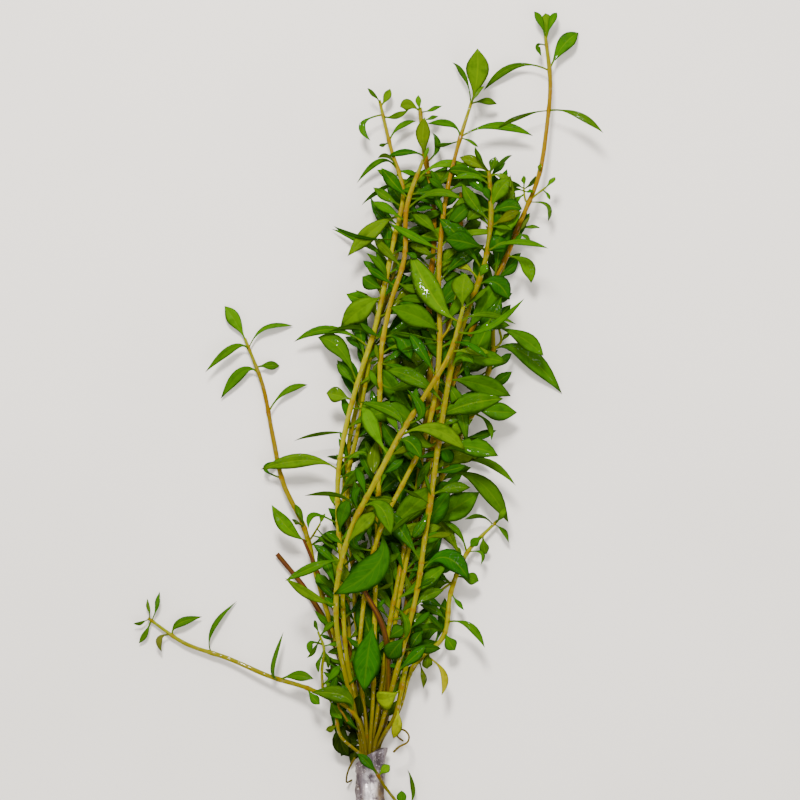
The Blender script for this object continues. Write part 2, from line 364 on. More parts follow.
def roundedRoute(points, steps=8):
    points = np.array(points, dtype=float)
    ends = np.vstack([2 * points[0] - points[1], points, 2 * points[-1] - points[-2]])
    line = []
    for a, b, c, d in zip(ends[:-3], ends[1:-2], ends[2:-1], ends[3:]):
        for t in np.linspace(0, 1, steps, endpoint=False):
            line.append(0.5 * (2 * b + (c - a) * t + (2 * a - 5 * b + 4 * c - d) * t * t
                               + (3 * b - a - 3 * c + d) * t ** 3))
    line.append(points[-1])
    return np.array(line)


def stripPlace(place):
    height, places = stripRows[place[0]]
    middle = bunch["stripMiddle"]
    return middle[0] + places[place[1]] * bunch["pack"], middle[1] + height * bunch["pack"]


def stemPoints(name):
    place, heights, radii, route = stemRoutes[name]
    across, up = stripPlace(place)
    cut = bunch["cutEnd"] - bunch["cutSpread"] * math.sin(7.1 * across + 3.3 * up)
    foot = [(across, cut), (across, 0), (across, bunch["neckTop"])]
    line = np.vstack([foot, resample(roundedRoute(route[::-1]), bunch["step"])])
    run = np.concatenate([[0], np.cumsum(np.linalg.norm(np.diff(line, axis=0), axis=1))])
    neck = run[2]
    along = np.maximum(0, run - neck)
    z = np.interp(along, [0] + [mark[0] for mark in heights], [up] + [mark[1] for mark in heights])
    radius = np.interp(along, [0, bunch["neckRun"], 0.6 * along[-1], along[-1]],
                       [bunch["neckRadius"], radii[0], radii[0], radii[1]])
    return np.column_stack([line, z]), radius, run <= neck + 0.01


# How the stems are pushed apart, turn by turn.
settling = {
    "turns": 420,
    "leastTurns": 60,
    "easedTurns": 300,           # after these the stems are pushed but no longer eased
    "shares": (0.0, 0.25, 0.5, 0.75),
    "giving": (0.35, 0.12, 1.0),     # how readily a stem gives way in X, Y and Z
    "push": 0.35,
    "level": 0.5,                # a pair nearer than this in height is parted by rank
    "ease": 0.06,
    "homeward": 0.02,
    "floor": 0.15,
}


def settleStems():
    names = list(stemRoutes)
    lines = [stemPoints(name) for name in names]
    points = np.vstack([line[0] for line in lines])
    radius = np.concatenate([line[1] for line in lines])
    fixed = np.concatenate([line[2] for line in lines])
    starts = np.cumsum([0] + [len(line[1]) for line in lines])
    first, share, owner = [], [], []
    for stem in range(len(names)):
        for k in range(starts[stem], starts[stem + 1] - 1):
            for t in settling["shares"]:
                first.append(k)
                share.append(t)
                owner.append(stem)
    first = np.array(first)
    share = np.array(share)[:, None]
    owner = np.array(owner)
    rank = np.array([max(mark[1] for mark in stemRoutes[name][1]) for name in names])[owner]
    reach = (radius[first] * (1 - share[:, 0]) + radius[first + 1] * share[:, 0])
    need = reach[:, None] + reach[None, :] + bunch["gap"]
    held = fixed[first + 1]
    other = np.triu((owner[:, None] != owner[None, :]) & ~(held[:, None] & held[None, :]))
    home = points.copy()
    for turn in range(settling["turns"]):
        spots = points[first] * (1 - share) + points[first + 1] * share
        away = spots[:, None, :] - spots[None, :, :]
        distance = np.sqrt((away ** 2).sum(axis=2))
        a, b = np.nonzero(other & (distance < need))
        if len(a) == 0 and turn > settling["leastTurns"]:
            break
        gap = away[a, b]
        level = np.abs(gap[:, 2]) < settling["level"]
        gap[level, 2] = np.where(rank[a] >= rank[b], settling["level"], -settling["level"])[level]
        push = gap * np.array(settling["giving"])
        push /= np.linalg.norm(push, axis=1)[:, None]
        push *= (settling["push"] * (need[a, b] - distance[a, b]))[:, None]
        move = np.zeros_like(points)
        hits = np.full(len(points), 1e-9)
        for sign, who in ((1, a), (-1, b)):
            for end, part in ((0, 1 - share[who]), (1, share[who])):
                np.add.at(move, first[who] + end, sign * push * part)
                np.add.at(hits, first[who] + end, part[:, 0])
        points += np.where(fixed[:, None], 0, move / np.maximum(1, 0.5 * hits)[:, None])
        for stem in range(len(names) if turn <= settling["easedTurns"] else 0):
            span = slice(starts[stem] + 1, starts[stem + 1] - 1)
            moved = points[starts[stem]:starts[stem + 1]] - home[starts[stem]:starts[stem + 1]]
            eased = settling["ease"] * (0.5 * (moved[:-2, 2] + moved[2:, 2]) - moved[1:-1, 2])
            points[span, 2] += np.where(fixed[span], 0, eased)
            back = settling["homeward"] * (home[span, :2] - points[span, :2])
            points[span, :2] += np.where(fixed[span][:, None], 0, back)
        points[:, 2] = np.maximum(points[:, 2], radius + settling["floor"])
    return {name: (points[starts[k]:starts[k + 1]], radius[starts[k]:starts[k + 1]])
            for k, name in enumerate(names)}


def nearestOn(axes, x, y):
    best = None
    for axis in axes:
        for a, b in zip(axis[:-1], axis[1:]):
            run = b[:2] - a[:2]
            share = np.dot(np.array((x, y)) - a[:2], run) / max(1e-9, np.dot(run, run))
            t = float(np.clip(share, 0, 1))
            spot = a + (b - a) * t
            far = math.hypot(spot[0] - x, spot[1] - y)
            if best is None or far < best[0]:
                best = (far, spot)
    return Vector(best[1])


# The middle line of a leaf, from its foot to its tip.
def leafLine(start, row, lift, arch, count=25):
    flat = [Vector((x, y)) for x, y in zip(row[2:-2:2], row[3:-2:2])]
    tip = flat[-1]
    if len(flat) > 1:
        middle = flat[0]
    else:
        side = Vector((start.y - tip.y, tip.x - start.x))
        sway = bunch["sway"] if int(10 * tip.x) % 2 else -bunch["sway"]
        middle = (start.xy + tip) / 2 + side * sway
    control = middle * 2 - (start.xy + tip) / 2
    end = Vector((tip.x, tip.y, max(bunch["tipFloor"], start.z + lift)))
    hill = (start.z + end.z) / 2 + arch
    b = Vector((*(start.xy + (control - start.xy) * 2 / 3), start.z + (hill - start.z) * 4 / 3))
    c = Vector((*(end.xy + (control - end.xy) * 2 / 3), end.z + (hill - end.z) * 4 / 3))
    return interpolate_bezier(start, b, c, end, count)


def leafAxes(ahead, roll):
    side = ahead.cross(Vector((0, 0, 1))).normalized()
    up = side.cross(ahead).normalized()
    return side * math.cos(roll) + up * math.sin(roll), up * math.cos(roll) - side * math.sin(roll)


def halfWidth(row, roll, share):
    return share * row[-2] / 2 / max(bunch["leastCosine"], math.cos(roll))


def sectionCorner(row, line, roll, place, share):
    ahead = (line[place + 1] - line[place - 1]).normalized()
    across, over = leafAxes(ahead, roll)
    half = halfWidth(row, roll, share)
    return line[place] + across * half + over * (bunch["fold"] * half)


def tipMiss(row, start, lift, corners):
    tip = Vector((row[-4], row[-3], max(bunch["tipFloor"], start.z + lift)))
    return corners.find(tip * mm)[2] / mm


# The solid leaf's section that is measured, as (place of 24 along it, share of its width).
solidLeaf = {
    "short": 9.5,
    "long": 17,
    "broad": 4.2,
    "middleSection": (13, 1.0),    # of short leaves and of long broad ones
    "lateSection": (16, 0.96),
    "farthest": 9.0,
}

# The broad leaf that lies over the stems beside it: its foot, and its lift, arch and roll. Its
# solid lies lower.
topLeaf = {"foot": (2.5, 83), "pose": (6.0, 3.4, -0.2)}


# A leaf's lift, arch and roll are read back from the corners of its solid.
def leafPose(row, start, corners):
    if row[:2] == topLeaf["foot"]:
        return topLeaf["pose"]
    lean = bunch["thinLean"] if row[-2] < bunch["thinLeaf"] else 0.0
    lift = min((tipMiss(row, start, lift, corners), lift) for lift in bunch["lifts"])[1]
    best = (solidLeaf["farthest"], bunch["arches"][0], bunch["rolls"][0])
    for arch in bunch["arches"]:
        line = leafLine(start, row, lift, arch)
        run = sum((b - a).length for a, b in zip(line[:-1], line[1:]))
        longBroad = run > solidLeaf["long"] and row[-2] > solidLeaf["broad"]
        section = "middleSection" if longBroad or run <= solidLeaf["short"] else "lateSection"
        place, share = solidLeaf[section]
        for roll in bunch["rolls"]:
            turn = roll + math.copysign(lean, roll)
            far = corners.find(sectionCorner(row, line, turn, place, share) * mm)[2] / mm
            if far < best[0]:
                best = (far, arch, turn)
    return lift, best[1], best[2]


twigForm = {
    "floor": 0.2,
    "foot": 1.1,         # share of the radius at the foot
    "narrowing": 0.3,
    "corners": 4,        # corners of the solid twig's end that are compared
    "cornerWeight": 0.2,
    "near": 0.001,
}


def twigPose(name, radius, points, axes, corners):
    start = nearestOn(axes, *points[0])
    best = None
    for lift in bunch["twigLifts"]:
        spots = [np.array(start)]
        for k, (x, y) in enumerate(points[1:], 1):
            height = max(radius + twigForm["floor"], start.z + lift * k / (len(points) - 1))
            spots.append(np.array((x, y, height)))
        radii = [radius * (twigForm["foot"] - twigForm["narrowing"] * k / len(spots))
                 for k in range(len(spots))]
        ring = corners.find_n(Vector(spots[-1]) * mm, twigForm["corners"])
        miss = twigForm["cornerWeight"] * sum(abs(far / mm - radii[-1]) for _, _, far in ring)
        for row in leafRows[name]:
            foot = nearestOn(axes + [spots], row[0], row[1])
            if (foot - nearestOn([spots], row[0], row[1])).length < twigForm["near"]:
                miss += min(tipMiss(row, foot, rise, corners) for rise in bunch["lifts"])
        if best is None or miss < best[0]:
            best = (miss, np.array(spots), radii)
    return best[1], best[2]


def cornersOf(name):
    verts = frame["nodes"][name].data.vertices
    tree = KDTree(len(verts))
    for k, vert in enumerate(verts):
        tree.insert(vert.co, k)
    tree.balance()
    return tree


def solidTree():
    verts, faces = [], []
    for node in frame["nodes"].values():
        first = len(verts)
        verts += [vert.co / mm for vert in node.data.vertices]
        faces += [[first + k for k in face.vertices] for face in node.data.polygons]
    return BVHTree.FromPolygons(verts, faces)


# Shader maths: a socket that adds its own Math nodes.
class Wire:
    def __init__(self, tree, socket=None):
        self.tree = tree
        self.socket = socket

    def node(self, kind, settings=None, inputs=None, out=0):
        made = self.tree.nodes.new(kind)
        for name, value in (settings or {}).items():
            setattr(made, name, value)
        for name, value in (inputs or {}).items():
            if isinstance(value, Wire):
                self.tree.links.new(value.socket, made.inputs[name])
            else:
                made.inputs[name].default_value = value
        return Wire(self.tree, made.outputs[out])

    def second(self):
        return Wire(self.tree, self.socket.node.outputs[1])

    def maths(self, operation, *terms):
        return self.node("ShaderNodeMath", {"operation": operation}, dict(enumerate(terms)))

    def __add__(self, other):
        return self.maths("ADD", self, other)

    def __radd__(self, other):
        return self.maths("ADD", other, self)

    def __sub__(self, other):
        return self.maths("SUBTRACT", self, other)

    def __rsub__(self, other):
        return self.maths("SUBTRACT", other, self)

    def __mul__(self, other):
        return self.maths("MULTIPLY", self, other)

    def __rmul__(self, other):
        return self.maths("MULTIPLY", other, self)

    def size(self):
        return self.maths("ABSOLUTE", self)

    def sine(self):
        return self.maths("SINE", self)

    def spread(self, low, high):
        return self.node("ShaderNodeMapRange", {"interpolation_type": "SMOOTHSTEP"},
                         {"Value": self, "From Min": low, "From Max": high})

    def mix(self, a, b, share):
        return self.node("ShaderNodeMix", {"data_type": "RGBA", "clamp_result": True},
                         {"Factor": share, 6: a, 7: b}, out=2)

    def blend(self, colour, share):
        return self.mix(self, (*colour, 1.0), share)

    def mixed(self, low, high, share):
        return self.mix((*low, 1.0), (*high, 1.0), share)

    def bump(self, distance, strength):
        return self.node("ShaderNodeBump", {},
                         {"Height": self, "Distance": distance, "Strength": strength})

    def noise(self, scale, detail, rough, where):
        return self.node("ShaderNodeTexNoise", {}, {"Vector": where, "Scale": scale, "Detail": detail,
                                                    "Roughness": rough})

    def attribute(self, name, number=True):
        return self.node("ShaderNodeAttribute", {"attribute_name": name}, {}, out=2 if number else 0)

    def placeOn(self):
        return self.node("ShaderNodeTexCoord", {}, {}, out=3)


def newMaterial(name, settings):
    made = bpy.data.materials.new(name)
    made.use_nodes = True
    shader = made.node_tree.nodes["Principled BSDF"]
    for socket, value in settings.items():
        shader.inputs[socket].default_value = value
    return made, Wire(made.node_tree), shader


shaderSockets = {"colour": "Base Color", "roughness": "Roughness", "metallic": "Metallic",
                 "coat": "Coat Weight", "normal": "Normal"}


def joinTo(wire, shader, **wires):
    for key, value in wires.items():
        wire.tree.links.new(value.socket, shader.inputs[shaderSockets[key]])


# Colours of the leaves by tint, top side, in linear light.
leafLook = {
    "b": (0.062, 0.134, 0.0),
    "m": (0.030, 0.096, 0.0),
    "d": (0.009, 0.063, 0.0),
    "o": (0.054, 0.080, 0.0),
    "y": (0.20, 0.235, 0.0),
    "g": (0.075, 0.105, 0.012),
    "k": (0.011, 0.018, 0.001),
    "rib": (0.11, 0.19, 0.0),
    "deep": (0.003, 0.028, 0.0),
    "pale": (0.095, 0.160, 0.0),
    "foot": (0.15, 0.17, 0.0),
    "under": (0.05, 0.09, 0.006),
    "roughness": 0.46,
    "ribEdge": (0.02, 0.12),      # the leaf's parts, as (from, to) of the way to its edge
    "marginEdge": (0.8, 0.99),
    "sideVeins": 26.0,
    "veinSlope": 7.0,
    "veinLine": (2.2, 0.72, 1.0),
    "patchScale": 380.0,
    "deepPatches": (0.46, 0.74),
    "palePatches": (0.28, 0.48),
    "footRun": (0.02, 0.26),      # the pale foot fades over this part of the leaf
    "fineScale": 2400.0,
    "filmScale": 170.0,
    "film": (0.45, 0.55),
    "wetScale": 1900.0,
    "beads": (0.59, 0.68),
    "wetLeaves": (0.15, 0.6),
    "relief": (0.00018, 0.6),
}


def leafMaterial():
    made, wire, shader = newMaterial("wetLeaf", {"Specular IOR Level": 0.02, "Coat Roughness": 0.08})
    tint = wire.attribute("leafTint", False)
    chance = wire.attribute("leafChance")
    under = wire.attribute("leafUnder")
    where = wire.placeOn()
    place = wire.node("ShaderNodeUVMap", {"uv_map": "leafUv"})
    split = wire.node("ShaderNodeSeparateXYZ", {}, {0: place})
    along, across = split, split.second()
    off = (across - 0.5).size() * 2.0
    rib = 1.0 - off.spread(*leafLook["ribEdge"])
    margin = off.spread(*leafLook["marginEdge"])
    turns, low, high = leafLook["veinLine"]
    vein = (along * leafLook["sideVeins"] - off * leafLook["veinSlope"]) * turns
    vein = vein.sine().spread(low, high) * (1.0 - rib) * (1.0 - margin)
    patches = wire.noise(leafLook["patchScale"], 3.0, 0.55, where)
    fine = wire.noise(leafLook["fineScale"], 2.0, 0.5, where)
    colour = tint.blend(leafLook["deep"], patches.spread(*leafLook["deepPatches"]) * 0.42)
    pale = 1.0 - patches.spread(*leafLook["palePatches"])
    colour = colour.blend(leafLook["pale"], pale * 0.2 * chance)
    colour = colour.blend(leafLook["rib"], rib * (0.12 + 0.36 * chance))
    colour = colour.blend(leafLook["rib"], vein * 0.08)
    colour = colour.blend(leafLook["deep"], margin * 0.35)
    foot = 1.0 - along.spread(*leafLook["footRun"])
    colour = colour.blend(leafLook["foot"], foot * (0.15 + 0.5 * chance))
    colour = colour.blend(leafLook["under"], under * 0.5)
    film = wire.noise(leafLook["filmScale"], 1.0, 0.4, where).spread(*leafLook["film"])
    beads = wire.noise(leafLook["wetScale"], 1.0, 0.4, where).spread(*leafLook["beads"])
    wet = beads * film * chance.spread(*leafLook["wetLeaves"])
    height = (1.0 - rib) * 0.4 + vein * 0.2 + fine * 0.12 + wet * 1.3
    rough = leafLook["roughness"] + fine * 0.16 - wet * 0.36 + under * 0.15
    joinTo(wire, shader, colour=colour, roughness=rough, coat=wet,
           normal=height.bump(*leafLook["relief"]))
    return made


stemLook = {
    "low": (0.212, 0.215, 0.0),        # yellow-green foot and middle
    "high": (0.172, 0.104, 0.0),       # golden tan upper part
    "green": (0.120, 0.155, 0.0),
    "tip": (0.13, 0.19, 0.0),
    "mark": (0.15, 0.045, 0.0),        # joints where leaves stand, and lines along the stem
    "bright": (0.30, 0.28, 0.0),
    "shade": (0.06, 0.06, 0.0),
    "neck": (0.070, 0.056, 0.0),       # stems squeezed by the strip, darker
    "sides": 10,
    "steps": 9,                        # points between two of the solid's
    "slenderTo": 0.3,
    "slender": (0.96, 1.26),           # its width beside its solid, up to that share and at the tip
    "tipRun": 9.0,                     # over this length it tapers, over twice of it it turns green
    "tipTaper": 0.25,
    "tipGreen": 0.85,
    "neckRun": (8, 46),                # from where along Y the neck's colour fades, and how far
    "swelling": 0.28,
    "swellReach": 1.5,
    "uneven": (0.03, 61.0),
    "grainScale": (60.0, 1.5, 1.5),
    "streakScale": 1.4,
    "patchScale": 300.0,
    "ridges": 9.0,
    "beadScale": 900.0,
    "relief": (0.00014, 0.5),
}

# material: share of worn patches, roughness, wetness
stemFinishes = {
    "freshStem": (0.3, 0.34, 0.9),
    "deadStem": (0.6, 0.5, 0.1),
    "rootSkin": (0.5, 0.42, 0.1),
}


def stemMaterial(name):
    wear, roughness, wetness = stemFinishes[name]
    made, wire, shader = newMaterial(name, {"Specular IOR Level": 0.04, "Coat Roughness": 0.07})
    tint = wire.attribute("stemTint", False)
    joint = wire.attribute("stemJoint")
    run = wire.attribute("stemRun")
    around = wire.node("ShaderNodeSeparateXYZ", {}, {0: wire.attribute("stemRound", False)})
    aside = around.second()
    where = wire.placeOn()
    long, wide, deep = stemLook["grainScale"]
    grain = wire.node("ShaderNodeCombineXYZ", {}, {0: run * long, 1: around * wide, 2: aside * deep})
    streaks = wire.noise(stemLook["streakScale"], 3.0, 0.5, grain)
    patches = wire.noise(stemLook["patchScale"], 3.0, 0.55, where)
    ridges = (around * stemLook["ridges"]).sine() * (aside * stemLook["ridges"]).sine()
    colour = tint.blend(stemLook["bright"], streaks.spread(0.5, 0.72) * 0.4)
    colour = colour.blend(stemLook["shade"], patches.spread(0.5, 0.78) * wear)
    lines = (around * 3.2 + patches * 2.0).sine().spread(0.35, 0.95)
    colour = colour.blend(stemLook["mark"], lines * (0.08 + 0.3 * streaks.spread(0.35, 0.6)))
    colour = colour.blend(stemLook["mark"], joint.spread(0.35, 0.95) * 0.5)
    beads = wire.noise(stemLook["beadScale"], 1.0, 0.4, where).spread(0.56, 0.64)
    height = ridges * 0.25 + streaks * 0.7 + patches * 0.5 + beads * 0.8
    joinTo(wire, shader, colour=colour, roughness=roughness + patches * 0.2,
           normal=height.bump(*stemLook["relief"]), coat=beads * wetness)
    return made


leadLook = {
    "bright": (0.235, 0.198, 0.222),
    "dull": (0.075, 0.056, 0.060),
    "glint": (0.90, 0.82, 0.82),
    "rust": (0.10, 0.058, 0.012),
    "roughness": 0.22,
    "cloudScale": 210.0,
    "streakScale": 300.0,
    "scuffScale": 1500.0,
    # where the strip changes, as (from, to) across and along it in metres
    "flank": (0.0016, 0.0042),
    "polishStart": (-0.003, -0.0005),
    "polishEnd": (0.0016, 0.0034),
    "polishTop": (0.002, 0.006),
    "rustStart": (0.0, 0.003),
    "rustTop": (-0.003, 0.004),
    "relief": (0.0005, 0.8),
}


def leadMaterial():
    made, wire, shader = newMaterial("softLead", {})
    where = wire.placeOn()
    drawn = wire.node("ShaderNodeMapping", {}, {"Vector": where, "Scale": (1.0, 0.35, 1.0)})
    cloud = wire.noise(leadLook["cloudScale"], 5.0, 0.6, where)
    streaks = wire.noise(leadLook["streakScale"], 4.0, 0.6, drawn)
    scuff = wire.noise(leadLook["scuffScale"], 3.0, 0.6, where)
    x = wire.node("ShaderNodeSeparateXYZ", {}, {0: where})
    y = x.second()
    colour = wire.mixed(leadLook["bright"], leadLook["dull"], streaks.spread(0.4, 0.62))
    flank = x.size().spread(*leadLook["flank"])
    colour = colour.blend(leadLook["dull"], flank * (0.35 + 0.5 * cloud.spread(0.42, 0.58)))
    polished = x.spread(*leadLook["polishStart"]) * (1.0 - x.spread(*leadLook["polishEnd"]))
    polished = polished * cloud.spread(0.4, 0.52) * (1.0 - y.spread(*leadLook["polishTop"])) * 0.9
    colour = colour.blend(leadLook["glint"], polished)
    colour = colour.blend(leadLook["glint"], scuff.spread(0.58, 0.70) * cloud.spread(0.44, 0.56))
    patch = x.spread(*leadLook["rustStart"]) * (1.0 - y.spread(*leadLook["rustTop"]))
    patch = patch * cloud.spread(0.36, 0.5)
    colour = colour.blend(leadLook["rust"], patch * 0.85)
    colour = colour.blend(leadLook["rust"], cloud.spread(0.58, 0.7) * 0.6)
    height = cloud * 0.6 + streaks * 0.8 + scuff * 0.3
    joinTo(wire, shader, colour=colour, roughness=leadLook["roughness"] + cloud * 0.3,
           normal=height.bump(*leadLook["relief"]), metallic=0.92 - patch * 0.7)
    return made


def addObject(name, data):
    made = bpy.data.objects.new(name, data)
    bpy.context.scene.collection.objects.link(made)
    return made


def faceOutwards(mesh):
    form = bmesh.new()
    form.from_mesh(mesh)
    bmesh.ops.recalc_face_normals(form, faces=form.faces)
    if form.calc_volume(signed=True) < 0:
        bmesh.ops.reverse_faces(form, faces=form.faces)
    form.to_mesh(mesh)
    form.free()


def addAttribute(mesh, name, domain, values):
    colours = np.ndim(values) > 1
    made = mesh.attributes.new(name, "FLOAT_COLOR" if colours else "FLOAT", domain)
    made.data.foreach_set("color" if colours else "value", np.ravel(values))


# Round stems by Geometry Nodes: a line of points with a radius, swept by a circle.
def sweepTree():
    tree = bpy.data.node_groups.new("stemSweep", "GeometryNodeTree")
    tree.interface.new_socket("Geometry", in_out="INPUT", socket_type="NodeSocketGeometry")
    tree.interface.new_socket("Sides", in_out="INPUT", socket_type="NodeSocketInt")
    tree.interface.new_socket("Finish", in_out="INPUT", socket_type="NodeSocketMaterial")
    tree.interface.new_socket("Geometry", in_out="OUTPUT", socket_type="NodeSocketGeometry")

    def add(kind, settings=None, inputs=None):
        made = tree.nodes.new(kind)
        for name, value in (settings or {}).items():
            setattr(made, name, value)
        for name, value in (inputs or {}).items():
            if isinstance(value, bpy.types.NodeSocket):
                tree.links.new(value, made.inputs[name])
            else:
                made.inputs[name].default_value = value
        return made

    start = add("NodeGroupInput")
    line = add("GeometryNodeMeshToCurve", None, {"Mesh": start.outputs["Geometry"]})
    width = add("GeometryNodeInputNamedAttribute", {"data_type": "FLOAT"}, {"Name": "stemRadius"})
    ring = add("GeometryNodeCurvePrimitiveCircle", {"mode": "RADIUS"},
               {"Resolution": start.outputs["Sides"], "Radius": 1.0})
    spot = add("GeometryNodeInputPosition")
    ringKept = add("GeometryNodeStoreNamedAttribute", {"data_type": "FLOAT_VECTOR", "domain": "POINT"},
                   {"Geometry": ring.outputs[0], "Name": "stemRound", "Value": spot.outputs[0]})
    length = add("GeometryNodeSplineParameter")
    run = add("GeometryNodeStoreNamedAttribute", {"data_type": "FLOAT", "domain": "POINT"},
              {"Geometry": line.outputs[0], "Name": "stemRun", "Value": length.outputs["Length"]})
    swept = add("GeometryNodeCurveToMesh", None,
                {"Curve": run.outputs[0], "Profile Curve": ringKept.outputs[0],
                 "Scale": width.outputs[0], "Fill Caps": True})
    soft = add("GeometryNodeSetShadeSmooth", None, {0: swept.outputs[0]})
    real = add("GeometryNodeRealizeInstances", None, {0: soft.outputs[0]})
    done = add("GeometryNodeSetMaterial", None, {"Geometry": real.outputs[0],
                                                 "Material": start.outputs["Finish"]})
    end = add("NodeGroupOutput")
    tree.links.new(done.outputs[0], end.inputs[0])
    return tree


def socketName(tree, name):
    for item in tree.interface.items_tree:
        if item.item_type == "SOCKET" and item.in_out == "INPUT" and item.name == name:
            return item.identifier
    return None


def sweep(name, lines, finish, sides=stemLook["sides"]):
    verts, edges, radii, tints, joints = [], [], [], [], []
    for points, radius, tint, joint in lines:
        first = len(verts)
        verts += [tuple(Vector(point) * mm) for point in points]
        edges += [(first + k, first + k + 1) for k in range(len(points) - 1)]
        radii += [r * mm for r in radius]
        tints += [(*t, 1.0) for t in tint]
        joints += list(joint)
    mesh = bpy.data.meshes.new(name)
    mesh.from_pydata(verts, edges, [])
    addAttribute(mesh, "stemRadius", "POINT", radii)
    addAttribute(mesh, "stemTint", "POINT", tints)
    addAttribute(mesh, "stemJoint", "POINT", joints)
    line = addObject(name, mesh)
    maker = line.modifiers.new("sweep", "NODES")
    maker.node_group = stemSweep
    maker[socketName(stemSweep, "Sides")] = sides
    maker[socketName(stemSweep, "Finish")] = finish
    bpy.context.view_layer.update()
    graph = bpy.context.evaluated_depsgraph_get()
    swept = bpy.data.meshes.new_from_object(line.evaluated_get(graph))
    bpy.data.objects.remove(line)
    return addObject(name, swept)


def mixTint(a, b, share):
    return tuple(x + (y - x) * share for x, y in zip(a, b))


def fineStem(points, radii, marks, joints, fresh=True):
    line = roundedRoute(points, stemLook["steps"])
    share = np.linspace(0, 1, len(line))
    radius = np.interp(share, np.linspace(0, 1, len(radii)), radii)
    length = np.linalg.norm(np.diff(line, axis=0), axis=1).sum()
    left = (1 - share) * length / stemLook["tipRun"]
    taper, young = np.clip(1 - left, 0, 1) * fresh, np.clip(1 - 0.5 * left, 0, 1) * fresh
    near = np.zeros(len(line))
    for joint in joints:
        far = np.linalg.norm(line - np.array(joint), axis=1)
        near = np.maximum(near, np.clip(1 - far / stemLook["swellReach"], 0, 1))
    wide = radius * np.interp(share, [stemLook["slenderTo"], 1], stemLook["slender"])
    wide *= 1 - stemLook["tipTaper"] * taper
    depth, turns = stemLook["uneven"]
    wide *= 1 + stemLook["swelling"] * near + depth * np.sin(share * turns + points[0][0])
    foot, top, low, high = marks
    neckFrom, neckRun = stemLook["neckRun"]
    tint = []
    for spot, tip in zip(line, young):
        colour = mixTint(foot, top, max(0.0, min(1.0, (spot[1] - low) / (high - low))))
        colour = mixTint(stemLook["neck"], colour, max(0.0, min(1.0, (spot[1] - neckFrom) / neckRun)))
        tint.append(mixTint(colour, stemLook["tip"], stemLook["tipGreen"] * tip))
    return line, wide, tint, near


# Leaves: closed blades with a folded midrib, wavy edges and a lance-shaped outline.
bladeForm = {
    "fine": (13, (1, 0.55, 0.14, 0, -0.14, -0.55, -1), (-0.5, 0, 0.5)),
    "plain": (9, (1, 0.5, 0, -0.5, -1), (0,)),
    "thickMiddle": 0.32,
    "thickEdge": 0.08,
    "width": 1.08,        # the leaf beside its solid
    "stalk": 0.3,         # half width of the leaf's foot
    "stalkRun": 0.07,     # shares of its length before the blade starts and along it
    "bladeRun": 0.93,
    "bluntness": 1.1,
    "stalkEnd": 0.7,      # the stalk's width is the least one up to this share, and then the tip's
    "tip": 0.02,
    "fullness": 1.45,     # more of it moves the widest place towards the tip
    "fullnessRange": (-0.12, 0.15),
    "wave": 0.14,
    "fullWave": 1.5,      # a leaf of at least this half width has the full wave
    "waves": 9,
    "waveShift": 1.4,     # between its two edges
    "groove": 0.09,
    "sink": 0.06,
    "paleness": (0.0, 0.3),
    "tone": (0.85, 1.15),
}


def lance(u, fullness, half):
    s = max(0.0, min(1.0, (u - bladeForm["stalkRun"]) / bladeForm["bladeRun"]))
    body = max(0.0, math.sin(math.pi * s ** fullness)) ** bladeForm["bluntness"]
    least = bladeForm["stalk"] / half if u < bladeForm["stalkEnd"] else bladeForm["tip"]
    return max(least, body)


